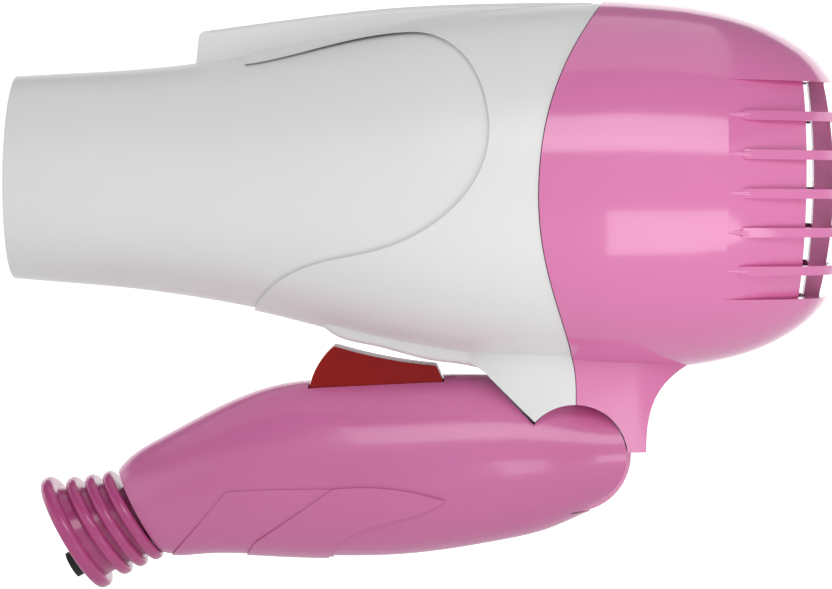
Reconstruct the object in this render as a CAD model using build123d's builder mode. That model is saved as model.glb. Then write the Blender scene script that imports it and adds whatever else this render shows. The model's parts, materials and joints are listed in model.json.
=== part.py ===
"""Folding travel hair dryer: white barrel, pink rear cover, folding handle with a rocker switch.

Frame: origin at the centre of the nozzle's mouth, +X along the barrel to the air inlet, +Z up.
Sizes in millimetres. The handle is stored folded under the barrel.
"""
from math import cos, radians, sin
import os

from build123d import *

os.makedirs("parts", exist_ok=True)

# ---------------------------------------------------------------- driving dimensions
# Head: points are (distance from the mouth, radius about the barrel's axis)
BARREL = [(0, 20.2), (12, 21.0), (24, 21.9), (36, 23.35), (48, 25.3), (62, 28.3), (76, 31.2),
          (86, 32.8), (96, 34.0), (106, 34.9), (118, 35.4)]
PANEL = [(46, 25.5), (54, 27.2), (62, 29.1), (76, 32.1), (86, 33.7), (96, 34.9), (106, 35.8),
         (118, 36.3)]
DUCT = [(7, 19.0), (24, 20.0), (36, 21.4), (48, 23.3), (62, 26.3), (76, 29.2), (86, 30.9),
        (96, 32.1), (106, 33.0), (122, 33.6)]
MOUTH_RADIUS, MOUTH_LAND = 19.0, 7.0
COVER = [(100, 35.75), (108, 36.35), (118, 36.8), (124, 36.5), (130, 36.1), (136, 35.35),
         (142, 34.1), (148, 32.2), (153.6, 29.4), (158, 26.2), (161.2, 22.4), (163.6, 17.0),
         (165.1, 9.5), (165.6, 0)]
COVER_INSIDE = [(100, 33.75), (118, 34.8), (130, 34.1), (136, 33.2), (142, 31.6), (148, 29.0),
                (154, 25.2), (157.5, 21.5), (159.5, 16.0), (160.4, 9.0), (160.7, 0)]
COVER_FLOOR = [(137, 35.3), (141, 34.1), (146, 31.9), (150, 29.9), (154.4, 27.2), (157, 24)]
BAR_INSIDE = [(137, 31.9), (142, 31.0), (148, 29.0), (153.6, 26.3), (158, 22.9), (160.4, 19.2),
              (162, 14), (162.6, 7), (162.7, 0)]
PART_LINE = [(121.5, 44), (116.1, 36.6), (110.5, 28.2), (105.3, 16.1), (103.2, 3), (103.6, -8),
             (105.5, -17.1), (108.6, -26.5), (111.2, -35), (111.8, -43)]
PART_GAP = 0.15
SWOOSH_LOW = [(47.6, -26.5), (50.2, -22.5), (55.2, -18.2), (60.9, -15.6), (72.6, -12.7),
              (85.0, -6.2), (91.5, 1.5), (93.8, 11)]
SWOOSH_HIGH = [(93.8, 11), (92.3, 19), (88.3, 25.6), (81.8, 29.3), (76.3, 29.5), (62.6, 26.9),
               (34, 23.2)]
RAIL_TOP = [(37.8, 29.6), (62.1, 33.2), (76.1, 34.8), (92.1, 35.75), (106, 36.15), (114, 36.25)]
RAIL_HALF, RAIL_EDGE = 4.0, 1.1
KEEL = [(62.2, -28.7), (65.0, -30.5), (72, -32.1), (83.3, -34.8), (89.5, -35.5), (93.2, -36.3)]
KEEL_HALF, KEEL_EDGE = 9.0, 1.5
NECK_FRONT = [(94.0, -36.9), (105.2, -47.5)]
NECK_BOTTOM_Z = -52.0
NECK_REAR = [(125.9, -52.0), (126.0, -48.0), (126.6, -44.0), (128.6, -39.6), (133.0, -35.6),
             (139, -33.2)]
NECK_HALF, NECK_REACH, NECK_CENTRE_X = 14.2, 26.0, 111.0
NECK_HOLLOW = [(90, -30), (90, -33.4), (96, -35.4), (101.5, -40.6), (122, -40.6), (122, -30)]
NECK_HOLLOW_HALF = 6.0
ROCKER_POCKET = (72.0, 88.0, -31.9, 6.0)
WINDOW_X, WINDOW_HALF = 154.4, 21.0
BAR_HEIGHTS = (14.2, 6.8, -0.6, -8.0, -15.4)
BAR_HALF, BAR_START = 0.9, 138.0
STRIP_HALF = 1.5

# Hinge
HINGE_X, HINGE_Z = 111.8, -53.1
CHEEK_RADIUS, SEAT_RADIUS = 10.15, 10.45
TONGUE_RADIUS, TONGUE_HALF = 11.4, 7.0
SLOT_RADIUS, SLOT_HALF = 11.8, 7.5
PIN_RADIUS, PIN_HALF, PIN_FIT = 2.5, 11.6, 0.05
WASHER_RADIUS, WASHER_IN, WASHER_OUT = 6.0, 7.1, 7.4

# Handle: each section is (top x, top z, bottom x, bottom z, half width)
HANDLE = [(21.1, -58.2, 30.3, -74.7, 8.8), (29.4, -51.7, 36.5, -74.8, 10.6),
          (41.3, -45.1, 44.5, -74.4, 12.3), (53.2, -40.6, 54.4, -74.7, 13.7),
          (65.0, -39.3, 65.3, -74.8, 14.5), (78.0, -38.5, 78.0, -74.3, 14.8),
          (88.0, -38.0, 88.0, -73.0, 14.8), (98.0, -38.2, 98.0, -71.1, 14.4),
          (108.0, -39.4, 108.0, -68.4, 13.9), (124.0, -42.0, 124.0, -63.2, 13.2)]
HANDLE_INSIDE = [(25.0, -58.2, 31.2, -72.4, 6.6), (30.4, -53.7, 36.0, -72.6, 8.3),
                 (41.8, -47.4, 44.2, -72.2, 10.0), (53.2, -42.9, 54.3, -72.4, 11.4),
                 (65.0, -41.6, 65.3, -72.5, 12.2), (78.0, -40.8, 78.0, -72.0, 12.5),
                 (88.0, -40.4, 88.0, -70.7, 12.4), (97.4, -45.0, 97.4, -68.6, 11.4)]
SPLIT_GAP = 0.05
SHOULDER = [(94.9, -38.3), (103.75, -46.95)]
LEAF = [(64.5, -60.0), (77.8, -60.0), (86.4, -62.0), (77.8, -65.9), (67.2, -70.0), (63.9, -73.6)]
LEAF_STEM = [(43.6, -61.1), (54.5, -60.3), (64.5, -60.0)]
LEAF_VEINS = ((49.0, -71.6), (35.6, -70.8))
LEAF_RISE, LEAF_BELOW = (0.3, 0.6), -80.0
END_HOLE_RADIUS = 6.1
HANDLE_SCREWS = ((44.0, -55.5), (92.0, -64.5))
SCREW_SHANK, SCREW_HOLE, SCREW_HEAD, SCREW_RECESS, BOSS = 1.4, 1.5, 2.7, 3.0, 3.4
SCREW_SEAT_Y = 8.0
CLAMP_X, CLAMP_POSTS_Z = 38.5, (-58.6, -68.4)

# Rocker switch, at rest tilted with its hinge side pressed
PIVOT_X, PIVOT_Z = 72.7, -43.0
ROCKER_RADIUS, ROCKER_HALF, ROCKER_TILT = 13.6, 5.0, 10.0
ROCKER_HOLE_HALF = 5.35
ROCKER_GAP, ROCKER_STUB, STUB_FIT, STUB_HALF = 0.3, 1.2, 0.06, 6.3
SWITCH_CHEEK, SWITCH_CHEEK_X, SWITCH_CHEEK_TOP = (5.3, 6.3), (69.6, 75.8), -41.45

# Cord sleeve: each ring is (centre x, centre z, radius, thickness, tilt)
RINGS = [(24.0, -67.4, 10.2, 2.3, 33), (20.7, -68.5, 10.6, 2.3, 33), (17.3, -69.6, 11.2, 2.4, 33),
         (12.7, -71.0, 12.5, 2.9, 31)]
SLEEVE_CORE_STEP = 1.9
BUSHING_OFFSET, BUSHING_RADIUS, BUSHING_BORE = 5.3, 2.7, 1.8
BUSHING_PROUD, BUSHING_DEPTH = 4.2, 9.0

# Motor, fan and heater, all on the barrel's axis
CAN_RADIUS, CAN_WALL, CAN_START, CAN_END = 12.0, 0.8, 89.0, 114.0
SHAFT_RADIUS, SHAFT_START, SHAFT_END, SHAFT_FIT = 1.0, 87.0, 128.5, 0.06
SHROUD_RADIUS, SHROUD_WALL, SHROUD_START, SHROUD_END = 31.6, 1.2, 97.0, 134.0
FAN_RADIUS, FAN_HUB, FAN_START, FAN_DEPTH, FAN_BLADES = 29.4, 9.0, 118.0, 13.0, 7
CARD_HALF, CARD_START, CARD_END, CARD_THICK = 15.6, 14.0, 64.0, 0.8
COIL_REACH, COIL_WIRE, COIL_BEND, COIL_PITCH, COIL_START, COIL_TURNS = 17.1, 0.4, 1.2, 5.0, 18.0, 8
GRILLE_X, GRILLE_RADIUS, GRILLE_RINGS = 8.0, 18.8, (18.8, 13.4, 8.0)
GRILLE_BAR, GRILLE_SPOKE, GRILLE_BOSS, GRILLE_DEPTH = 1.1, 1.2, 3.0, 2.2
TUBE_RADIUS, TUBE_WALL, TUBE_START, TUBE_END = 18.4, 0.4, 11.5, 66.0
CARD_SLOT_PLAY = 0.2
EYELETS, EYELET_RADIUS, EYELET_HOLE = ((60.5, 10.0), (60.5, -10.0), (17.0, 10.0), (17.0, -10.0)), 1.3, 0.7
EYELET_HALF, EYELET_PLAY = 1.2, 0.05
THERMOSTAT, THERMOSTAT_TABS = (50, 58, 0.6, 3.4, 3.5, 9), ((48.5, 50), (58, 59.5))
THERMOSTAT_TAB = (1.6, 2.2, 4.5, 8)
FUSE_PLACE, FUSE, FUSE_WIRE = (-2.4, 6), (1.5, 44, 9), (0.4, 40, 17)
CARRIER_START, CARRIER_DEPTH, CARRIER_FIT = 99.0, 9.0, 0.1
AIR_HOLES, AIR_HOLE_RADIUS, MOTOR_CUP_WALL = 6, 8.6, 1.8
BEARING_RADIUS, BEARING_DEPTH = 2.6, 1.6
MAGNET_INSIDE, MAGNET_START, MAGNET_LENGTH, MAGNET_GAP, MAGNET_FIT = 8.2, 95.0, 17.0, 5.0, 0.05
END_CAP_DEPTH, END_CAP_BOSS, END_CAP_BOSS_DEPTH = 2.0, 4.0, 1.4
TERMINAL_Y, TERMINAL_HALF, TERMINAL_WIDTH_HALF, TERMINAL_LENGTH = 7.5, 0.3, 1.6, 4.0
BOARD_RADIUS, BOARD_START, BOARD_END = 9.5, 82.5, 83.9
DIODES, DIODE_RADIUS, DIODE_START, DIODE_LENGTH = ((-3.4, 4.2), (3.4, 4.2), (-3.4, -4.2), (3.4, -4.2)), \
    1.4, 77.0, 5.4
CORE_RADIUS, CORE_START, CORE_LENGTH, CORE_SLOTS = 7.6, 97.0, 13.0, 5
CORE_SLOT_AT, CORE_SLOT = 6.0, (3.4, 1.4)
COMMUTATOR_RADIUS, COMMUTATOR_START, COMMUTATOR_LENGTH, SHAFT_PLAY = 3.0, 92.0, 4.0, 0.02
HUB_EDGE, HUB_WALL, HUB_HOLLOW, HUB_BOSS, HUB_BOSS_DEPTH = 2.5, 1.6, 3.0, 2.6, 4.0
BLADE_LENGTH, BLADE_THICK, BLADE_PITCH = 16.5, 1.5, 52

# Leads, switch and clamp
LEAD_RADIUS = 0.85
HEAD_LEAD = [(67.5, -19.5), (78, -27.0), (89, -29.4), (97.5, -34.8), (107, -38.2)]
HEAD_LEAD_Y, HEAD_LEAD_BENDS = 3.0, [12, 14, 14]
SWITCH_BLOCK = (59.5, 86.0, -7.6, 7.6, -57, -49.5)
SWITCH_TABS, SWITCH_TAB_HALF, SWITCH_TAB_WIDTH_HALF = (64.0, 72.7, 81.4), 0.4, 2.4
SWITCH_TAB_Z = (-63.5, -57.05)
CLAMP_HALF, CLAMP_Y, CLAMP_Z = 2.3, (-0.3, 1.5), (-70.2, -56.8)
CLAMP_HOLE, CLAMP_SHANK, CLAMP_HEAD = 1.25, (1.1, -6.0), (2.1, 1.4)
POST_RADIUS, POST_HOLE = 2.3, 1.15
PIN_GRIP, PIN_END_PLAY = 0.02, 0.1
LEAD_DOOR = (96, 102, -2.6, 2.6, -56, -51)
SCREW_LIFT, SCREW_HEAD_DEPTH = 0.1, 2.0
HANDLE_SCREW_TIP_Y = -6.5
HEAD_SCREW_Y, HEAD_SCREW_Z, HEAD_SCREW_SEAT_X, HEAD_SCREW_TIP_X = 3.7, -46.3, 121.0, 106.0
THROUGH = 80


def save(builder, name):
    builder.part.label = name
    export_step(builder.part, f"parts/{name}.step")


def turned(points):
    """Closed half profile between a curve and the axis."""
    with BuildLine() as outline:
        Spline(*points)
        Polyline(points[-1], (points[-1][0], 0), (points[0][0], 0), points[0])
    make_face(outline.edges())


def domed(points):
    """Closed half profile under a curve that ends square to the axis."""
    with BuildLine() as outline:
        Spline(*points, tangents=[(1, 0.08), (0, -1)])
        Polyline(points[-1], (points[0][0], 0), points[0])
    make_face(outline.edges())


def beside_part_line(shift, far):
    """Everything on one side of the line where the two housings meet."""
    line = [(x + shift, z) for x, z in PART_LINE]
    with BuildLine() as outline:
        Spline(*line, tangents=[(-5, -7), (0, -1)])
        Polyline(line[-1], (line[-1][0], -90), (far, -90), (far, line[0][1]), line[0])
    make_face(outline.edges())


def along_x(radius, start, end, mode=Mode.ADD):
    with BuildSketch(Plane.YZ.offset(start)) as disc:
        Circle(radius)
    extrude(disc.sketch, amount=end - start, mode=mode)


def along_y(x, z, radius, start, end, mode=Mode.ADD):
    with BuildSketch(Plane.XZ.offset(-end)) as disc:
        with Locations((x, z)):
            Circle(radius)
    extrude(disc.sketch, amount=end - start, mode=mode)


def block(x0, x1, y0, y1, z0, z1, mode=Mode.ADD):
    with BuildSketch(Plane.XY.offset(z0)) as base:
        with Locations(((x0 + x1) / 2, (y0 + y1) / 2)):
            Rectangle(x1 - x0, y1 - y0)
    extrude(base.sketch, amount=z1 - z0, mode=mode)


# ---------------------------------------------------------------- neck, shared by both housings
with BuildPart() as neck_form:
    with BuildSketch(Plane.XZ):
        with BuildLine():
            Polyline((88, -24), (88, -33), NECK_FRONT[0], NECK_FRONT[1], (112, -51),
                     (121, NECK_BOTTOM_Z), NECK_REAR[0])
            Spline(*NECK_REAR)
            Polyline(NECK_REAR[-1], (139, -24), (88, -24))
        make_face()
    extrude(amount=NECK_HALF + 2, both=True)
    with BuildSketch(Plane.XY.offset(-60)):
        with Locations((NECK_CENTRE_X, 0)):
            Ellipse(NECK_REACH, NECK_HALF)
    extrude(amount=50, mode=Mode.INTERSECT)


def hinge_seat():
    """Tongue between the handle's cheeks, the seats for the cheeks and the pin's bore."""
    for side in (-1, 1):
        start, end = sorted((side * TONGUE_HALF, side * 20))
        along_y(HINGE_X, HINGE_Z, SEAT_RADIUS, start, end, Mode.SUBTRACT)
    along_y(HINGE_X, HINGE_Z, TONGUE_RADIUS, -TONGUE_HALF, TONGUE_HALF)
    along_y(HINGE_X, HINGE_Z, PIN_RADIUS + PIN_FIT, -TONGUE_HALF, TONGUE_HALF, Mode.SUBTRACT)
    with BuildSketch(Plane.XZ) as hollow:
        Polygon(*NECK_HOLLOW, align=None)
    extrude(hollow.sketch, amount=NECK_HOLLOW_HALF, both=True, mode=Mode.SUBTRACT)


# ---------------------------------------------------------------- front housing
with BuildPart() as raised_panel:
    with BuildSketch(Plane.XZ):
        turned(PANEL)
    revolve(axis=Axis.X)
    with BuildSketch(Plane.XZ):
        with BuildLine():
            Spline(*SWOOSH_LOW)
            Spline(*SWOOSH_HIGH)
            Polyline(SWOOSH_HIGH[-1], (34, -26.5), SWOOSH_LOW[0])
        make_face()
    extrude(amount=THROUGH, both=True, mode=Mode.SUBTRACT)

with BuildPart() as rail:
    with BuildSketch(Plane.XZ):
        with BuildLine():
            Line((35.7, 21), (36.3, 28.2))
            TangentArc((36.3, 28.2), RAIL_TOP[0], tangent=(0.6, 7.2))
            Spline(*RAIL_TOP)
            Polyline(RAIL_TOP[-1], (114, 30), (76, 27), (35.7, 21))
        make_face()
    extrude(amount=RAIL_HALF, both=True)
    fillet(rail.edges().filter_by_position(Axis.Y, -RAIL_HALF, -RAIL_HALF).sort_by(Axis.Z)[-2:]
           + rail.edges().filter_by_position(Axis.Y, RAIL_HALF, RAIL_HALF).sort_by(Axis.Z)[-2:],
           RAIL_EDGE)

with BuildPart() as keel:
    with BuildSketch(Plane.XZ):
        with BuildLine():
            Spline(*KEEL)
            Polyline(KEEL[-1], NECK_FRONT[0], (98, -41), (98, -24), (62.2, -24), KEEL[0])
        make_face()
    extrude(amount=KEEL_HALF, both=True)
    fillet(keel.edges().filter_by_position(Axis.Y, -KEEL_HALF, -KEEL_HALF).sort_by(Axis.X)[1:3]
           + keel.edges().filter_by_position(Axis.Y, KEEL_HALF, KEEL_HALF).sort_by(Axis.X)[1:3],
           KEEL_EDGE)

with BuildPart() as front_housing:
    with BuildSketch(Plane.XZ):
        turned(BARREL)
    revolve(axis=Axis.X)
    add(raised_panel.part)
    add(rail.part)
    add(keel.part)
    add(neck_form.part)
    with BuildSketch(Plane.XZ):
        turned(DUCT)
    revolve(axis=Axis.X, mode=Mode.SUBTRACT)
    along_x(MOUTH_RADIUS, 0, MOUTH_LAND, Mode.SUBTRACT)
    hinge_seat()
    pocket_front, pocket_rear, pocket_top, pocket_half = ROCKER_POCKET
    block(pocket_front, pocket_rear, -pocket_half, pocket_half, -37.5, pocket_top, Mode.SUBTRACT)
    with BuildSketch(Plane.XZ):
        beside_part_line(0, 200)
    extrude(amount=THROUGH, both=True, mode=Mode.SUBTRACT)
    with BuildSketch(Plane.YZ.offset(HEAD_SCREW_TIP_X - 1)):
        with Locations((-HEAD_SCREW_Y, HEAD_SCREW_Z), (HEAD_SCREW_Y, HEAD_SCREW_Z)):
            Circle(SCREW_HOLE)
    extrude(amount=30, mode=Mode.SUBTRACT)

# ---------------------------------------------------------------- rear housing
with BuildPart() as side_recess:
    with BuildSketch(Plane.XZ):
        with BuildLine():
            Spline(*COVER_FLOOR)
            Polyline(COVER_FLOOR[-1], (157, 45), (137, 45), COVER_FLOOR[0])
        make_face()
    revolve(axis=Axis.X)
    block(130, WINDOW_X, -50, 50, -WINDOW_HALF, WINDOW_HALF, Mode.INTERSECT)

with BuildPart() as inlet_bars:
    with BuildSketch(Plane.XZ):
        with BuildLine():
            Spline(*[p for p in COVER if p[0] > BAR_START], tangents=[(1, -0.16), (0, -1)])
            Line(COVER[-1], BAR_INSIDE[-1])
            Spline(*BAR_INSIDE, tangents=[(1, -0.15), (0, -1)])
            Line(BAR_INSIDE[0], next(p for p in COVER if p[0] > BAR_START))
        make_face()
    revolve(axis=Axis.X)
    with BuildSketch(Plane.XZ):
        with Locations(*[(152, z) for z in BAR_HEIGHTS]):
            Rectangle(32, 2 * BAR_HALF)
    extrude(amount=50, both=True, mode=Mode.INTERSECT)

with BuildPart() as rear_housing:
    with BuildSketch(Plane.XZ):
        domed(COVER)
    revolve(axis=Axis.X)
    add(neck_form.part)
    with BuildSketch(Plane.XZ):
        domed(COVER_INSIDE)
    revolve(axis=Axis.X, mode=Mode.SUBTRACT)
    block(WINDOW_X, 180, -50, 50, -WINDOW_HALF, WINDOW_HALF, Mode.SUBTRACT)
    add(side_recess.part, mode=Mode.SUBTRACT)
    add(inlet_bars.part)
    with BuildSketch(Plane.XZ):
        with BuildLine():
            ThreePointArc((160.2, 21.6), (162.8, 0), (160.2, -21.6))
            Line((160.2, -21.6), (157.2, -21.6))
            ThreePointArc((157.2, -21.6), (158.9, 0), (157.2, 21.6))
            Line((157.2, 21.6), (160.2, 21.6))
        make_face()
    extrude(amount=STRIP_HALF, both=True)
    hinge_seat()
    with BuildSketch(Plane.XZ):
        beside_part_line(PART_GAP, 0)
    extrude(amount=THROUGH, both=True, mode=Mode.SUBTRACT)
    with BuildSketch(Plane.YZ.offset(100)):
        with Locations((-HEAD_SCREW_Y, HEAD_SCREW_Z), (HEAD_SCREW_Y, HEAD_SCREW_Z)):
            Circle(SCREW_HOLE)
    extrude(amount=30, mode=Mode.SUBTRACT)
    with BuildSketch(Plane.YZ.offset(HEAD_SCREW_SEAT_X)):
        with Locations((-HEAD_SCREW_Y, HEAD_SCREW_Z), (HEAD_SCREW_Y, HEAD_SCREW_Z)):
            Circle(SCREW_RECESS)
    extrude(amount=12, mode=Mode.SUBTRACT)

with BuildPart() as head_screws:
    for side in (-1, 1):
        with BuildSketch(Plane.YZ.offset(HEAD_SCREW_TIP_X)):
            with Locations((side * HEAD_SCREW_Y, HEAD_SCREW_Z)):
                Circle(SCREW_SHANK)
        extrude(amount=HEAD_SCREW_SEAT_X + SCREW_LIFT - HEAD_SCREW_TIP_X)
        with BuildSketch(Plane.YZ.offset(HEAD_SCREW_SEAT_X + SCREW_LIFT)):
            with Locations((side * HEAD_SCREW_Y, HEAD_SCREW_Z)):
                Circle(SCREW_HEAD)
        extrude(amount=SCREW_HEAD_DEPTH)

# ---------------------------------------------------------------- heater
with BuildPart() as outlet_grille:
    with BuildSketch(Plane.YZ.offset(GRILLE_X)):
        for radius in GRILLE_RINGS:
            Circle(radius)
            Circle(radius - GRILLE_BAR, mode=Mode.SUBTRACT)
        with PolarLocations(0, 3):
            Rectangle(2 * GRILLE_RADIUS - 1, GRILLE_SPOKE)
        Circle(GRILLE_BOSS)
    extrude(amount=GRILLE_DEPTH)

with BuildPart() as mica_tube:
    along_x(TUBE_RADIUS, TUBE_START, TUBE_END)
    along_x(TUBE_RADIUS - TUBE_WALL, TUBE_START, TUBE_END, Mode.SUBTRACT)

CARD_MIDDLE = (CARD_START + CARD_END) / 2
with BuildPart() as mica_card_upright:
    with BuildSketch(Plane.XZ):
        with Locations((CARD_MIDDLE, 0)):
            Rectangle(CARD_END - CARD_START, 2 * CARD_HALF)
        with Locations(((CARD_MIDDLE + CARD_END) / 2, 0)):
            Rectangle((CARD_END - CARD_START) / 2, CARD_THICK + CARD_SLOT_PLAY, mode=Mode.SUBTRACT)
        with Locations(*EYELETS):
            Circle(EYELET_RADIUS + EYELET_PLAY, mode=Mode.SUBTRACT)
    extrude(amount=CARD_THICK / 2, both=True)

with BuildPart() as mica_card_flat:
    with BuildSketch(Plane.XY):
        with Locations((CARD_MIDDLE, 0)):
            Rectangle(CARD_END - CARD_START, 2 * CARD_HALF)
        with Locations(((CARD_START + CARD_MIDDLE) / 2, 0)):
            Rectangle((CARD_END - CARD_START) / 2, CARD_THICK + CARD_SLOT_PLAY, mode=Mode.SUBTRACT)
    extrude(amount=CARD_THICK / 2, both=True)

with BuildPart() as heater_eyelets:
    with BuildSketch(Plane.XZ):
        with Locations(*EYELETS):
            Circle(EYELET_RADIUS)
            Circle(EYELET_HOLE, mode=Mode.SUBTRACT)
    extrude(amount=EYELET_HALF, both=True)


def wound_corners():
    """Corners of the winding: it crosses one card edge every quarter turn."""
    return [(COIL_START + step * COIL_PITCH / 4, COIL_REACH * cos(radians(90 * step)),
             COIL_REACH * sin(radians(90 * step))) for step in range(4 * COIL_TURNS + 1)]


with BuildPart() as heater_coil:
    with BuildLine() as winding:
        FilletPolyline(*wound_corners(), radius=COIL_BEND)
    with BuildSketch(Plane(winding.line @ 0, z_dir=winding.line % 0)):
        Circle(COIL_WIRE)
    sweep(path=winding.line)

with BuildPart() as thermostat:
    block(*THERMOSTAT)
    for tab in THERMOSTAT_TABS:
        block(*tab, *THERMOSTAT_TAB)

with BuildPart() as thermal_fuse:
    for radius, start, length in (FUSE, FUSE_WIRE):
        with BuildSketch(Plane.YZ.offset(start)):
            with Locations(FUSE_PLACE):
                Circle(radius)
        extrude(amount=length)

# ---------------------------------------------------------------- motor and fan
with BuildPart() as motor_carrier:
    along_x(SHROUD_RADIUS, SHROUD_START, SHROUD_END)
    along_x(SHROUD_RADIUS - SHROUD_WALL, SHROUD_START, SHROUD_END, Mode.SUBTRACT)
    with BuildSketch(Plane.YZ.offset(CARRIER_START)):
        Circle(SHROUD_RADIUS - SHROUD_WALL / 3)
        with PolarLocations((CAN_RADIUS + SHROUD_RADIUS) / 2 + 1, AIR_HOLES, start_angle=30):
            Circle(AIR_HOLE_RADIUS, mode=Mode.SUBTRACT)
        Circle(CAN_RADIUS + MOTOR_CUP_WALL)
        Circle(CAN_RADIUS + CARRIER_FIT, mode=Mode.SUBTRACT)
    extrude(amount=CARRIER_DEPTH)

with BuildPart() as motor_can:
    along_x(CAN_RADIUS, CAN_START, CAN_END)
    along_x(CAN_RADIUS - CAN_WALL, CAN_START, CAN_END - CAN_WALL, Mode.SUBTRACT)
    along_x(BEARING_RADIUS, CAN_END, CAN_END + BEARING_DEPTH)
    along_x(SHAFT_RADIUS + SHAFT_FIT, CAN_START, CAN_END + 2, Mode.SUBTRACT)

with BuildPart() as motor_magnets:
    with BuildSketch(Plane.YZ.offset(MAGNET_START)):
        Circle(CAN_RADIUS - CAN_WALL - MAGNET_FIT)
        Circle(MAGNET_INSIDE, mode=Mode.SUBTRACT)
        Rectangle(3 * CAN_RADIUS, MAGNET_GAP, mode=Mode.SUBTRACT)
    extrude(amount=MAGNET_LENGTH)

with BuildPart() as motor_end_cap:
    along_x(CAN_RADIUS - CAN_WALL - MAGNET_FIT, CAN_START, CAN_START + END_CAP_DEPTH)
    along_x(END_CAP_BOSS, CAN_START - END_CAP_BOSS_DEPTH, CAN_START)
    along_x(SHAFT_RADIUS + SHAFT_FIT, CAN_START - 2, CAN_START + 3, Mode.SUBTRACT)

with BuildPart() as motor_terminals:
    for side in (-1, 1):
        block(CAN_START - TERMINAL_LENGTH, CAN_START - 0.05, side * TERMINAL_Y - TERMINAL_HALF,
              side * TERMINAL_Y + TERMINAL_HALF, -TERMINAL_WIDTH_HALF, TERMINAL_WIDTH_HALF)

with BuildPart() as rectifier_board:
    along_x(BOARD_RADIUS, BOARD_START, BOARD_END)
    for side in (-1, 1):
        block(BOARD_START - 1, BOARD_END + 1, side * TERMINAL_Y - 2 * TERMINAL_HALF,
              side * TERMINAL_Y + 2 * TERMINAL_HALF, -TERMINAL_WIDTH_HALF - TERMINAL_HALF,
              TERMINAL_WIDTH_HALF + TERMINAL_HALF, Mode.SUBTRACT)

with BuildPart() as rectifier_diodes:
    with BuildSketch(Plane.YZ.offset(DIODE_START)):
        with Locations(*DIODES):
            Circle(DIODE_RADIUS)
    extrude(amount=DIODE_LENGTH)

with BuildPart() as motor_shaft:
    along_x(SHAFT_RADIUS, SHAFT_START, SHAFT_END)

with BuildPart() as armature_core:
    with BuildSketch(Plane.YZ.offset(CORE_START)):
        Circle(CORE_RADIUS)
        with PolarLocations(CORE_SLOT_AT, CORE_SLOTS):
            Rectangle(*CORE_SLOT, mode=Mode.SUBTRACT)
        Circle(SHAFT_RADIUS + SHAFT_PLAY, mode=Mode.SUBTRACT)
    extrude(amount=CORE_LENGTH)

with BuildPart() as commutator:
    with BuildSketch(Plane.YZ.offset(COMMUTATOR_START)):
        Circle(COMMUTATOR_RADIUS)
        Circle(SHAFT_RADIUS + SHAFT_PLAY, mode=Mode.SUBTRACT)
    extrude(amount=COMMUTATOR_LENGTH)

with BuildPart() as fan_hub:
    along_x(FAN_HUB, FAN_START, FAN_START + FAN_DEPTH)
    fillet(fan_hub.edges().sort_by(Axis.X)[-1:], HUB_EDGE)
    along_x(FAN_HUB - HUB_WALL, FAN_START, FAN_START + HUB_HOLLOW, Mode.SUBTRACT)
    along_x(HUB_BOSS, FAN_START, FAN_START + HUB_BOSS_DEPTH)

with BuildPart() as impeller:
    with BuildSketch(Plane.XY.offset(FAN_HUB - 1.5)):
        with Locations(Location((FAN_START + FAN_DEPTH / 2, 0), BLADE_PITCH)):
            SlotOverall(BLADE_LENGTH, BLADE_THICK)
    extrude(amount=FAN_RADIUS - FAN_HUB + 2)
    for step in range(1, FAN_BLADES):
        add(impeller.part.solids()[0].rotate(Axis.X, step * 360 / FAN_BLADES))
    with BuildSketch(Plane.YZ.offset(FAN_START)):
        Circle(FAN_RADIUS)
    extrude(amount=FAN_DEPTH, mode=Mode.INTERSECT)
    along_x(FAN_HUB - HUB_WALL / 3, FAN_START, FAN_START + HUB_HOLLOW, Mode.SUBTRACT)
    add(fan_hub.part)
    along_x(SHAFT_RADIUS + SHAFT_PLAY, FAN_START - 1, FAN_START + FAN_DEPTH - 2, Mode.SUBTRACT)

# ---------------------------------------------------------------- handle
def ring_plane(ring):
    """Plane through a ring's centre, its normal pointing out of the handle's cord end."""
    x, z, _, _, tilt = ring
    return Plane(origin=(x, 0, z), x_dir=(0, 1, 0),
                 z_dir=(-cos(radians(tilt)), 0, -sin(radians(tilt))))


def handle_body(sections, grow=0.0):
    """Smooth body through upright ovals."""
    ovals = []
    for top_x, top_z, bottom_x, bottom_z, half in sections:
        centre = ((top_x + bottom_x) / 2, 0, (top_z + bottom_z) / 2)
        down = Vector(bottom_x - top_x, 0, bottom_z - top_z)
        plane = Plane(origin=centre, x_dir=down, z_dir=down.cross(Vector(0, 1, 0)))
        with BuildSketch(plane) as oval:
            Ellipse(down.length / 2 + grow, half + grow)
        ovals.append(oval.sketch)
    loft(ovals)


def hinge_end():
    """Side outline that trims the hinge end: shoulder, round cheeks and stop step."""
    step = radians(-75)
    lower = (HINGE_X + CHEEK_RADIUS * cos(step), HINGE_Z + CHEEK_RADIUS * sin(step))
    stop = (HINGE_X + 13.8 * cos(radians(-71)), HINGE_Z + 13.8 * sin(radians(-71)))
    with BuildLine() as outline:
        ThreePointArc(SHOULDER[1], (HINGE_X + CHEEK_RADIUS * cos(radians(30)),
                                    HINGE_Z + CHEEK_RADIUS * sin(radians(30))), lower)
        Polyline(lower, stop, (stop[0], -90), (0, -90), (0, -30), (93, -30), *SHOULDER)
    make_face(outline.edges())


with BuildPart() as leaf_stem_layer:
    handle_body(HANDLE, LEAF_RISE[0])
    with BuildSketch(Plane.XZ):
        with BuildLine():
            Spline(*LEAF_STEM)
            Polyline(LEAF_STEM[-1], (64.5, LEAF_BELOW), (28, LEAF_BELOW), LEAF_VEINS[1],
                     LEAF_STEM[0])
        make_face()
    extrude(amount=30, both=True, mode=Mode.INTERSECT)

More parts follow.
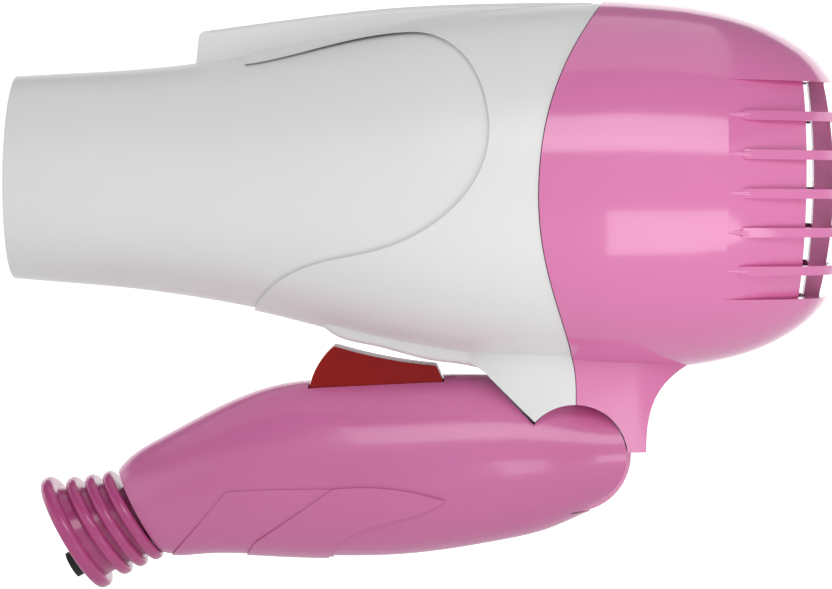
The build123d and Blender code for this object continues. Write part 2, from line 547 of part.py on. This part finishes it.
with BuildPart() as leaf_layer:
    handle_body(HANDLE, LEAF_RISE[1])
    with BuildSketch(Plane.XZ):
        with BuildLine():
            Spline(*LEAF[:3])
            Spline(*LEAF[2:])
            Polyline(LEAF[-1], (62.5, LEAF_BELOW), (44.0, LEAF_BELOW), LEAF_VEINS[0], LEAF[0])
        make_face()
    extrude(amount=30, both=True, mode=Mode.INTERSECT)

with BuildPart() as handle_form:
    handle_body(HANDLE)
    add(leaf_stem_layer.part)
    add(leaf_layer.part)
    with BuildSketch(Plane.XZ):
        hinge_end()
    extrude(amount=30, both=True, mode=Mode.INTERSECT)

with BuildPart() as handle_hollow:
    handle_body(HANDLE_INSIDE)
    for x, z in HANDLE_SCREWS:
        along_y(x, z, BOSS, -30, 30, Mode.SUBTRACT)


def handle_half(side):
    """Work shared by both halves; side is -1 for the plain half, 1 for the screwed half."""
    add(handle_form.part)
    add(handle_hollow.part, mode=Mode.SUBTRACT)
    along_y(HINGE_X, HINGE_Z, SLOT_RADIUS, -SLOT_HALF, SLOT_HALF, Mode.SUBTRACT)
    block(HINGE_X - 2, 130, -SLOT_HALF, SLOT_HALF, HINGE_Z - 8, -30, Mode.SUBTRACT)
    along_y(HINGE_X, HINGE_Z, PIN_RADIUS + PIN_GRIP, -PIN_HALF, PIN_HALF, Mode.SUBTRACT)
    block(*LEAD_DOOR, Mode.SUBTRACT)
    along_y(PIVOT_X, PIVOT_Z, ROCKER_RADIUS + ROCKER_GAP, -ROCKER_HOLE_HALF, ROCKER_HOLE_HALF,
            Mode.SUBTRACT)
    block(SWITCH_CHEEK_X[0] - 0.2, SWITCH_CHEEK_X[1] + 0.2, -SWITCH_CHEEK[1] - 0.2,
          SWITCH_CHEEK[1] + 0.2, -50, SWITCH_CHEEK_TOP + 0.15, Mode.SUBTRACT)
    with BuildSketch(ring_plane(RINGS[0]).offset(-10)) as end_hole:
        Circle(END_HOLE_RADIUS)
    extrude(end_hole.sketch, amount=12, mode=Mode.SUBTRACT)
    for x, z in HANDLE_SCREWS:
        along_y(x, z, SCREW_HOLE, -8, 20, Mode.SUBTRACT)
        along_y(x, z, SCREW_RECESS, SCREW_SEAT_Y, 20, Mode.SUBTRACT)
    split(bisect_by=Plane.XZ.offset(SPLIT_GAP) if side < 0 else Plane.XZ.offset(-SPLIT_GAP),
          keep=Keep.TOP if side < 0 else Keep.BOTTOM)


with BuildPart() as handle_left:
    handle_half(-1)
    for z in CLAMP_POSTS_Z:
        along_y(CLAMP_X, z, POST_RADIUS, -8.5, CLAMP_Y[0] - 0.1)
        along_y(CLAMP_X, z, POST_HOLE, HANDLE_SCREW_TIP_Y, 0, Mode.SUBTRACT)

with BuildPart() as handle_right:
    handle_half(1)

with BuildPart() as hinge_pin:
    along_y(HINGE_X, HINGE_Z, PIN_RADIUS, -PIN_HALF + PIN_END_PLAY, PIN_HALF - PIN_END_PLAY)

with BuildPart() as hinge_washers:
    for start, end in ((WASHER_IN, WASHER_OUT), (-WASHER_OUT, -WASHER_IN)):
        with BuildSketch(Plane.XZ.offset(-end)):
            with Locations((HINGE_X, HINGE_Z)):
                Circle(WASHER_RADIUS)
                Circle(PIN_RADIUS + 0.1, mode=Mode.SUBTRACT)
        extrude(amount=end - start)

with BuildPart() as handle_screws:
    for x, z in HANDLE_SCREWS:
        along_y(x, z, SCREW_SHANK, HANDLE_SCREW_TIP_Y, SCREW_SEAT_Y + SCREW_LIFT)
        along_y(x, z, SCREW_HEAD, SCREW_SEAT_Y + SCREW_LIFT, SCREW_SEAT_Y + SCREW_HEAD_DEPTH)

with BuildPart() as cord_clamp:
    block(CLAMP_X - CLAMP_HALF, CLAMP_X + CLAMP_HALF, *CLAMP_Y, *CLAMP_Z)
    for z in CLAMP_POSTS_Z:
        along_y(CLAMP_X, z, CLAMP_HOLE, CLAMP_Y[0] - 1, CLAMP_Y[1] + 1, Mode.SUBTRACT)

with BuildPart() as cord_clamp_screws:
    for z in CLAMP_POSTS_Z:
        along_y(CLAMP_X, z, CLAMP_SHANK[0], CLAMP_SHANK[1], CLAMP_Y[1] + SCREW_LIFT)
        along_y(CLAMP_X, z, CLAMP_HEAD[0], CLAMP_Y[1] + SCREW_LIFT,
                CLAMP_Y[1] + SCREW_LIFT + CLAMP_HEAD[1])

# ---------------------------------------------------------------- cord sleeve and bushing
CORD_PLANE = Plane(origin=(RINGS[-1][0] + BUSHING_OFFSET * sin(radians(RINGS[-1][4])), 0,
                           RINGS[-1][1] - BUSHING_OFFSET * cos(radians(RINGS[-1][4]))),
                   x_dir=(0, 1, 0), z_dir=ring_plane(RINGS[-1]).z_dir)

with BuildPart() as cord_sleeve:
    for ring in RINGS:
        with BuildSketch(ring_plane(ring)):
            Circle(ring[2] - SLEEVE_CORE_STEP)
    loft()
    for ring in RINGS:
        with BuildPart(mode=Mode.PRIVATE) as lip:
            with BuildSketch(ring_plane(ring).offset(-ring[3] / 2)):
                Circle(ring[2])
            extrude(amount=ring[3])
            fillet(lip.edges(), ring[3] * 0.42)
        add(lip.part)
    spigot = ring_plane(RINGS[0])
    with BuildSketch(spigot.offset(-8.2)):
        Circle(END_HOLE_RADIUS - 0.1)
    extrude(amount=8.2)
    with BuildSketch(CORD_PLANE.offset(-30)):
        Circle(BUSHING_RADIUS + 0.02)
    extrude(amount=40, mode=Mode.SUBTRACT)

with BuildPart() as cord_bushing:
    with BuildSketch(CORD_PLANE.offset(-BUSHING_DEPTH)):
        Circle(BUSHING_RADIUS)
        Circle(BUSHING_BORE, mode=Mode.SUBTRACT)
    extrude(amount=BUSHING_DEPTH + BUSHING_PROUD)

# ---------------------------------------------------------------- rocker and switch
def rocker_points(tilt):
    """Rocker's corners about its pivot: angle and radius, turned to its rest tilt."""
    corners = [(139.5, ROCKER_RADIUS), (40.5, ROCKER_RADIUS), (-6, ROCKER_RADIUS), (-38, 5.2),
               (-142, 5.2), (186, ROCKER_RADIUS)]
    return [(PIVOT_X + r * cos(radians(a - tilt)), PIVOT_Z + r * sin(radians(a - tilt)))
            for a, r in corners]


with BuildPart() as rocker_switch:
    top_left, top_right, low_right, foot_right, foot_left, low_left = rocker_points(ROCKER_TILT)
    dip_angle = radians(90 - ROCKER_TILT)
    dip = (PIVOT_X + 8.3 * cos(dip_angle), PIVOT_Z + 8.3 * sin(dip_angle))
    with BuildSketch(Plane.XZ):
        with BuildLine():
            ThreePointArc(top_left, dip, top_right)
            RadiusArc(top_right, low_right, ROCKER_RADIUS)
            Polyline(low_right, foot_right, foot_left, low_left)
            RadiusArc(low_left, top_left, ROCKER_RADIUS)
        make_face()
    extrude(amount=ROCKER_HALF, both=True)
    fillet(rocker_switch.edges().filter_by(GeomType.LINE).filter_by(Axis.Y).sort_by(Axis.Z)[-2:], 0.7)
    along_y(PIVOT_X, PIVOT_Z, ROCKER_STUB, -STUB_HALF, STUB_HALF)

with BuildPart() as switch_body:
    block(*SWITCH_BLOCK)
    for side in (-1, 1):
        start, end = sorted((side * SWITCH_CHEEK[0], side * SWITCH_CHEEK[1]))
        block(*SWITCH_CHEEK_X, start, end, -50, SWITCH_CHEEK_TOP)
    along_y(PIVOT_X, PIVOT_Z, ROCKER_STUB + STUB_FIT, -8, 8, Mode.SUBTRACT)

with BuildPart() as switch_terminals:
    for x in SWITCH_TABS:
        block(x - SWITCH_TAB_HALF, x + SWITCH_TAB_HALF, -SWITCH_TAB_WIDTH_HALF,
              SWITCH_TAB_WIDTH_HALF, *SWITCH_TAB_Z)


def lead(points, bends):
    """Insulated wire of straight runs joined by arcs."""
    with BuildLine() as path:
        FilletPolyline(*points, radius=bends)
    with BuildSketch(Plane(path.line @ 0, z_dir=path.line % 0)) as core:
        Circle(LEAD_RADIUS)
    sweep(core.sketch, path=path.line)


with BuildPart() as head_leads:
    for side in (-1, 1):
        lead([(x, HEAD_LEAD_Y * side, z) for x, z in HEAD_LEAD], HEAD_LEAD_BENDS)

with BuildPart() as handle_leads:
    for side in (-1, 1):
        lead([(43, 1.6 * side, -63.5), (51, 2.2 * side, -64.8), (60, 2.4 * side, -65)], [20])
        lead([(84, 1.6 * side, -60.5), (91, 1.6 * side, -57.0), (99, 1.6 * side, -53.6)], [30])

# ---------------------------------------------------------------- write every node
for node_name, node in {
        "front_housing": front_housing, "rear_housing": rear_housing,
        "head_screws": head_screws, "outlet_grille": outlet_grille, "mica_tube": mica_tube,
        "mica_card_upright": mica_card_upright, "mica_card_flat": mica_card_flat,
        "heater_eyelets": heater_eyelets, "heater_coil": heater_coil,
        "thermostat": thermostat, "thermal_fuse": thermal_fuse, "motor_carrier": motor_carrier,
        "motor_can": motor_can, "motor_magnets": motor_magnets, "motor_end_cap": motor_end_cap,
        "motor_terminals": motor_terminals, "rectifier_board": rectifier_board,
        "rectifier_diodes": rectifier_diodes, "motor_shaft": motor_shaft,
        "armature_core": armature_core, "commutator": commutator, "impeller": impeller,
        "handle_left": handle_left, "handle_right": handle_right, "hinge_pin": hinge_pin,
        "hinge_washers": hinge_washers, "handle_screws": handle_screws,
        "cord_clamp": cord_clamp, "cord_clamp_screws": cord_clamp_screws,
        "cord_sleeve": cord_sleeve, "cord_bushing": cord_bushing,
        "rocker_switch": rocker_switch, "switch_body": switch_body,
        "switch_terminals": switch_terminals, "head_leads": head_leads,
        "handle_leads": handle_leads}.items():
    save(node, node_name)
    print(node_name, len(node.part.solids()), round(node.part.volume))
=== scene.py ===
# %% [markdown]
# # Folding travel hair dryer
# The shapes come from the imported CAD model. This lesson gives them their looks: moulded
# plastics, mica, brass and steel, in soft studio light. Everything is in metres, with the
# origin at the centre of the nozzle's mouth, +X towards the air inlet and +Z up.

# %% Load the frame
import json
import math

import bpy
from mathutils import Matrix, Vector


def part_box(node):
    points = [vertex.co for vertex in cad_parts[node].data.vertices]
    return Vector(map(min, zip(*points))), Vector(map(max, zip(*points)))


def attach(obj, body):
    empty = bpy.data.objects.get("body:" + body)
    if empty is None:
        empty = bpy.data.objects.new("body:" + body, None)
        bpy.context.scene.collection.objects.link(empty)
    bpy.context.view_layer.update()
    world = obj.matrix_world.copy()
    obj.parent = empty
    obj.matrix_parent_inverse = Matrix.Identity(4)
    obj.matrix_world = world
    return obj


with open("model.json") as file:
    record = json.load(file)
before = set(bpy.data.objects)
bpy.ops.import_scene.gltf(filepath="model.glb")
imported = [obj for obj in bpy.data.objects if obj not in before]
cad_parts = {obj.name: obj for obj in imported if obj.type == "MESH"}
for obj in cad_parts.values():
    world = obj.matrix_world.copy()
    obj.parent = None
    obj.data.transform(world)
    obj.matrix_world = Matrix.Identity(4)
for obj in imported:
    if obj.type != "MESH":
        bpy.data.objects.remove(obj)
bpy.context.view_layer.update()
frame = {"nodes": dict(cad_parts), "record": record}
nodes = frame["nodes"]

# %% [markdown]
# Colours are picked as sRGB hex values, as on a paint chart. The shader works in linear
# light, so one function turns them. A second small function adds a node with its settings
# and its links, so each material below reads as a short list of what it is made of.

# %% Helpers for colour and nodes
def linear(hex_colour, alpha=1.0):
    """sRGB hex to linear RGBA."""
    channels = [int(hex_colour[i:i + 2], 16) / 255 for i in (0, 2, 4)]
    return [c / 12.92 if c <= 0.04045 else ((c + 0.055) / 1.055) ** 2.4 for c in channels] + [alpha]


def add_node(tree, kind, settings=None, **links):
    """One node: plain values go on sockets, sockets are linked, settings are its properties."""
    node = tree.nodes.new(kind)
    for key, value in (settings or {}).items():
        setattr(node, key, value)
    for key, value in links.items():
        socket = node.inputs[int(key[1:])] if key[0] == "i" and key[1:].isdigit() \
            else node.inputs[key.replace("_", " ")]
        if isinstance(value, bpy.types.NodeSocket):
            tree.links.new(value, socket)
        else:
            socket.default_value = value
    return node


def new_material(name, **shader):
    """Material with a Principled shader whose even values are set on its own sockets."""
    material = bpy.data.materials.new(name)
    material.use_nodes = True
    tree = material.node_tree
    tree.nodes.clear()
    principled = add_node(tree, "ShaderNodeBsdfPrincipled", **shader)
    output = add_node(tree, "ShaderNodeOutputMaterial", Surface=principled.outputs[0])
    return material, tree, principled


print("white chart value", [round(c, 3) for c in linear("E6E7E6")])

# %% [markdown]
# The shells are injection-moulded ABS. A polished mould leaves a gloss with a very slight
# waviness, and the plastic's pigment varies a little over centimetres. Both are made with
# noise in object space, so they stay on the part when it moves.

# %% Moulded ABS
ABS_IOR, GLOSS_SPREAD, BUMP_PER_MM = 1.54, 0.03, 2e-5


def moulded_abs(name, colour, deep, roughness, waviness_mm, grain_mm, bump, coat=0.0, level=0.5):
    """Moulded ABS: pigment that varies slightly, long waviness and fine mould grain."""
    material, tree, principled = new_material(
        name, IOR=ABS_IOR, Coat_Weight=coat, Coat_Roughness=0.08, Specular_IOR_Level=level)
    place = add_node(tree, "ShaderNodeTexCoord").outputs["Object"]
    cloud = add_node(tree, "ShaderNodeTexNoise", Vector=place, Scale=1000 / waviness_mm, Detail=2.0)
    grain = add_node(tree, "ShaderNodeTexNoise", Vector=place, Scale=1000 / grain_mm, Detail=3.0)
    tint = add_node(tree, "ShaderNodeMix", {"data_type": "RGBA"}, Factor=cloud.outputs["Fac"])
    tint.inputs[6].default_value = linear(colour)
    tint.inputs[7].default_value = linear(deep)
    tree.links.new(tint.outputs[2], principled.inputs["Base Color"])
    gloss = add_node(tree, "ShaderNodeMapRange", Value=grain.outputs["Fac"],
                     To_Min=roughness - GLOSS_SPREAD, To_Max=roughness + GLOSS_SPREAD)
    tree.links.new(gloss.outputs[0], principled.inputs["Roughness"])
    long_wave = add_node(tree, "ShaderNodeBump", Height=cloud.outputs["Fac"], Strength=bump,
                         Distance=waviness_mm * BUMP_PER_MM)
    fine = add_node(tree, "ShaderNodeBump", Height=grain.outputs["Fac"], Strength=bump,
                    Distance=grain_mm * BUMP_PER_MM, Normal=long_wave.outputs[0])
    tree.links.new(fine.outputs[0], principled.inputs["Normal"])
    return material


# White ABS is only satin, so it shades softly and shows no sharp reflection.
white_abs = moulded_abs("moulded white ABS", "EDEEED", "E7E8E7", 0.34, 30, 0.7, 0.25)
# The cover and the handle come from polished moulds: clear bands of light lie on them.
pink_abs = moulded_abs("moulded pink ABS", "E27FB6", "DE79B1", 0.16, 34, 0.9, 0.2, coat=0.4)
# The handle's pink is a little deeper than the cover's: painted shade, for the less light that
# falls on the handle.
handle_abs_painted_shade = moulded_abs("moulded handle ABS with painted shade", "D674AA", "CF6CA3", 0.24, 30, 0.8, 0.25, coat=0.3)
# The sleeve is soft PVC: deeper in colour, with small bright lines on its rings.
sleeve_pvc = moulded_abs("moulded sleeve PVC", "C24C8C", "B54080", 0.2, 12, 0.8, 0.25, coat=0.3)
# The rocker is dyed right through and hardly reflects.
rocker_red = moulded_abs("moulded red ABS", "9A1512", "88100E", 0.3, 12, 0.6, 0.3, level=0.2)
# Rubber and glass-filled nylon are matt and dark; silicone sleeving is cream and dull.
black_rubber = moulded_abs("black rubber", "161616", "0C0C0C", 0.55, 8, 0.5, 0.5)
black_nylon = moulded_abs("black glass-filled nylon", "1C1C1E", "141416", 0.5, 9, 0.5, 0.6)
grey_nylon = moulded_abs("charcoal fan nylon", "2C2D30", "232427", 0.42, 9, 0.6, 0.5)
silicone = moulded_abs("silicone lead sleeving", "E2DED6", "D2CEC6", 0.5, 6, 0.5, 0.5)
print("plastics made")

# %% [markdown]
# Inside sit mica, resistance wire, brass and plated steel. Mica is a pressed flaky sheet,
# so its tint comes in small cells. Metals keep the default IOR.

# %% Metals, mica and board
def streaked_metal(name, colour, deep, roughness, streak_mm):
    """Metal with fine drawn or rolled streaks along X."""
    material, tree, principled = new_material(name, Metallic=1.0)
    place = add_node(tree, "ShaderNodeTexCoord").outputs["Object"]
    stretch = add_node(tree, "ShaderNodeMapping", Vector=place, Scale=(0.08, 1.0, 1.0))
    streak = add_node(tree, "ShaderNodeTexNoise", Vector=stretch.outputs[0], Scale=1000 / streak_mm,
                      Detail=4.0)
    tint = add_node(tree, "ShaderNodeMix", {"data_type": "RGBA"}, Factor=streak.outputs["Fac"])
    tint.inputs[6].default_value = linear(colour)
    tint.inputs[7].default_value = linear(deep)
    tree.links.new(tint.outputs[2], principled.inputs["Base Color"])
    gloss = add_node(tree, "ShaderNodeMapRange", Value=streak.outputs["Fac"],
                     To_Min=roughness - 0.08, To_Max=roughness + 0.1)
    tree.links.new(gloss.outputs[0], principled.inputs["Roughness"])
    return material


def flaky_sheet(name, colour, deep, cell_mm):
    """Pressed mica or phenolic board: small flat cells of slightly different tint."""
    material, tree, principled = new_material(name, Roughness=0.45, IOR=1.58)
    place = add_node(tree, "ShaderNodeTexCoord").outputs["Object"]
    cells = add_node(tree, "ShaderNodeTexVoronoi", Vector=place, Scale=1000 / cell_mm)
    tint = add_node(tree, "ShaderNodeMix", {"data_type": "RGBA"}, Factor=cells.outputs["Color"])
    tint.inputs[6].default_value = linear(colour)
    tint.inputs[7].default_value = linear(deep)
    tree.links.new(tint.outputs[2], principled.inputs["Base Color"])
    bump = add_node(tree, "ShaderNodeBump", Height=cells.outputs["Distance"], Strength=0.3,
                    Distance=2e-5)
    tree.links.new(bump.outputs[0], principled.inputs["Normal"])
    return material


# Steel and brass mirror in streaks; oxidised heater wire and sintered iron stay dull.
plated_steel = streaked_metal("zinc plated steel", "C8C9CB", "A9AAAD", 0.3, 0.6)
nichrome = streaked_metal("drawn nichrome", "9A948C", "6E675F", 0.42, 0.4)
brass = streaked_metal("stamped brass", "D2AE62", "B28C45", 0.3, 0.5)
ferrite = streaked_metal("sintered iron", "4A4A4C", "333335", 0.55, 0.8)
# Mica is straw-coloured in flat flakes; phenolic board is brown with a faint cell.
mica = flaky_sheet("pressed mica", "CDBD9A", "A08C66", 2.0)
phenolic = flaky_sheet("phenolic board", "9A6A34", "7E5226", 1.5)
print("metals, mica and board made")

# %% [markdown]
# Each record slot names the finish of its nodes, so the materials go on by slot.

# %% Put the materials on the CAD nodes
finish_of_slot = {
    "white_shell": white_abs, "pink_cover": pink_abs, "pink_handle": handle_abs_painted_shade,
    "magenta_sleeve": sleeve_pvc, "red_rocker": rocker_red, "black_rubber": black_rubber,
    "dark_plastic": black_nylon, "fan_plastic": grey_nylon, "mica": mica, "nichrome": nichrome,
    "brass": brass, "screw_steel": plated_steel, "ferrite": ferrite, "board": phenolic,
    "lead_sleeve": silicone}
for entry in frame["record"]["subparts"]:
    mesh = nodes[entry["node"]].data
    mesh.materials.clear()
    mesh.materials.append(finish_of_slot[entry["material_slot"]])

# %% [markdown]
# Each bar of the air inlet runs out into the cover as a pointed ridge, so that the mould
# releases cleanly. A ridge is a slim cone laid along the cover: its thick end sits inside the
# bar and its point sinks into the skin. One is made for each bar on each side, and all ten
# are joined, because they are one moulding with the cover.

# %% Pointed ridges of the inlet bars
cover_low, cover_high = (Vector(corner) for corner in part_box("rear_housing"))
BAR_STEP, TOP_BAR, BAR_COUNT = 0.0074, 0.0142, 5
POINT_X, THICK_X = 0.1375, 0.1428
POINT_RADIUS, THICK_RADIUS, RIDGE_HALF = 0.0350, 0.0332, 0.00088
bpy.ops.object.select_all(action="DESELECT")
ridges = []
for side in (-1, 1):
    for step in range(BAR_COUNT):
        z = TOP_BAR - step * BAR_STEP
        point = Vector((POINT_X, side * math.sqrt(POINT_RADIUS ** 2 - z ** 2), z))
        thick = Vector((THICK_X, side * math.sqrt(THICK_RADIUS ** 2 - z ** 2), z))
        along = point - thick
        bpy.ops.mesh.primitive_cone_add(
            vertices=24, radius1=RIDGE_HALF, radius2=0.00006, depth=along.length,
            location=(point + thick) / 2, rotation=along.to_track_quat("Z", "Y").to_euler())
        ridges.append(bpy.context.object)
for ridge in ridges:
    ridge.select_set(True)
bpy.ops.object.join()
ridge_tips = bpy.context.object
ridge_tips.name = ridge_tips.data.name = "inlet_ridge_tips"
bpy.ops.object.transform_apply(location=True, rotation=True, scale=True)
bpy.ops.object.mode_set(mode="EDIT")
bpy.ops.mesh.select_all(action="SELECT")
bpy.ops.mesh.normals_make_consistent(inside=False)
bpy.ops.object.mode_set(mode="OBJECT")
bpy.ops.object.shade_smooth_by_angle(angle=math.radians(40))
ridge_tips.data.materials.append(pink_abs)
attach(ridge_tips, "head")
print("ridges", len(ridges), "on a cover of", round((cover_high.x - cover_low.x) * 1000), "mm")

# %% [markdown]
# The studio is a white room: a pale floor that curves up behind, with soft lights round it.
# The floor lies just below the reach of the opened handle, so the handle can swing down without
# meeting it. It glows more towards the back: painted light, an emission in the paper that rises
# towards the back, as paper lit from behind looks.

# %% Floor
# The paper's glow is painted light: weak emission at the front, strong at the back.
PAPER_GLOW_FRONT, PAPER_GLOW_BACK = 0.31, 0.95
GLOW_RISE_START, GLOW_RISE_END = 0.10, 0.58
FLOOR_SIZE, WALL_HEIGHT, BEND_WIDTH, CLEARANCE = 6.0, 2.0, 1.2, 0.004
hinge = sum((Vector(corner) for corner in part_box("hinge_pin")), Vector()) / 2
sleeve_end = Vector(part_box("cord_sleeve")[0])
reach = math.hypot(hinge.x - sleeve_end.x, hinge.z - sleeve_end.z)
floor_height = hinge.z - reach - CLEARANCE
print("open handle reaches", round(reach * 1000), "mm below its hinge")
bpy.ops.object.select_all(action="DESELECT")
bpy.ops.mesh.primitive_plane_add(size=FLOOR_SIZE, location=(0.08, 0, floor_height))
floor = bpy.context.object
floor.name = "pale_floor"
bpy.ops.object.transform_apply(location=True, rotation=False, scale=False)
for edge in floor.data.edges:
    edge.select = all(floor.data.vertices[v].co.y > 1 for v in edge.vertices)
for vertex in floor.data.vertices:
    vertex.select = vertex.co.y > 1
bpy.ops.object.mode_set(mode="EDIT")
bpy.ops.mesh.select_mode(type="EDGE")
bpy.ops.mesh.extrude_edges_move(TRANSFORM_OT_translate={"value": (0, 0, WALL_HEIGHT)})
bpy.ops.object.mode_set(mode="OBJECT")
bend = floor.modifiers.new("bend", "BEVEL")
bend.width, bend.segments, bend.limit_method = BEND_WIDTH, 16, "ANGLE"
bpy.ops.object.modifier_apply(modifier="bend")
bpy.ops.object.shade_smooth()
print("floor and wall", len(floor.data.polygons), "faces")
paper, paper_tree, paper_shader = new_material("matt studio paper", Roughness=0.9)
paper_shader.inputs["Base Color"].default_value = linear("C6C6C6")
paper_place = add_node(paper_tree, "ShaderNodeTexCoord").outputs["Object"]
depth = add_node(paper_tree, "ShaderNodeSeparateXYZ", Vector=paper_place)
fade = add_node(paper_tree, "ShaderNodeMapRange", {"interpolation_type": "SMOOTHSTEP"},
                Value=depth.outputs["Y"], From_Min=GLOW_RISE_START, From_Max=GLOW_RISE_END,
                To_Min=PAPER_GLOW_FRONT, To_Max=PAPER_GLOW_BACK)
glow = add_node(paper_tree, "ShaderNodeEmission", Color=(1, 1, 1, 1), Strength=fade.outputs[0])
both = add_node(paper_tree, "ShaderNodeAddShader", i0=paper_shader.outputs[0], i1=glow.outputs[0])
paper_tree.links.new(both.outputs[0], paper_tree.nodes["Material Output"].inputs["Surface"])
floor.data.materials.append(paper)


# %% [markdown]
# Gloss shows a light as a band. A large softbox above and in front and a low strip in front
# draw the two long bands on the cover. A top light and a weak side light only fill the shade.

# %% Lights
def softbox(name, place, aim, width, height, watts):
    """Rectangular area light that the camera doesn't see."""
    data = bpy.data.lights.new(name, "AREA")
    data.shape, data.size, data.size_y, data.energy = "RECTANGLE", width, height, watts
    lamp = bpy.data.objects.new(name, data)
    bpy.context.scene.collection.objects.link(lamp)
    lamp.location = place
    lamp.rotation_euler = (Vector(aim) - Vector(place)).to_track_quat("-Z", "Y").to_euler()
    lamp.visible_camera = False
    return lamp


softbox("upper_softbox", (0.20, -0.46, 0.30), (0.12, 0, 0), 0.42, 0.22, 0.86)
softbox("low_strip", (0.215, -0.195, -0.078), (0.215, -0.10, 0.3), 0.19, 0.14, 0.20)
softbox("top_softbox", (0.06, 0.10, 0.6), (0.08, 0, 0), 0.6, 0.6, 0.7)
softbox("left_fill", (-0.5, -0.3, 0.1), (0.05, 0, -0.02), 0.5, 0.5, 0.3)
world = bpy.data.worlds.new("white_room")
world.use_nodes = True
world.node_tree.nodes["Background"].inputs[0].default_value = (1, 1, 1, 1)
world.node_tree.nodes["Background"].inputs[1].default_value = 0.18
bpy.context.scene.world = world
bpy.context.scene.view_settings.view_transform = "Standard"
print("lights placed")

# %% [markdown]
# The camera stands 0.6 m from the barrel, level with it, and looks a little down at the middle
# of the folded dryer. A slight roll matches how the dryer lies in its catalogue view.

# %% Camera
camera_data = bpy.data.cameras.new("catalogue_camera")
camera = bpy.data.objects.new("catalogue_camera", camera_data)
bpy.context.scene.collection.objects.link(camera)
camera_place, camera_aim = Vector((0.0866, -0.600, 0.0058)), Vector((0.0801, 0, -0.0222))
camera_data.sensor_width, camera_data.lens = 36.0, 130.0
look = (camera_aim - camera_place).to_track_quat("-Z", "Y").to_matrix().to_4x4()
camera.matrix_world = (Matrix.Translation(camera_place) @ look
                       @ Matrix.Rotation(math.radians(0.87), 4, "Z"))
bpy.context.scene.camera = camera

# %% Update the scene
bpy.context.view_layer.update()
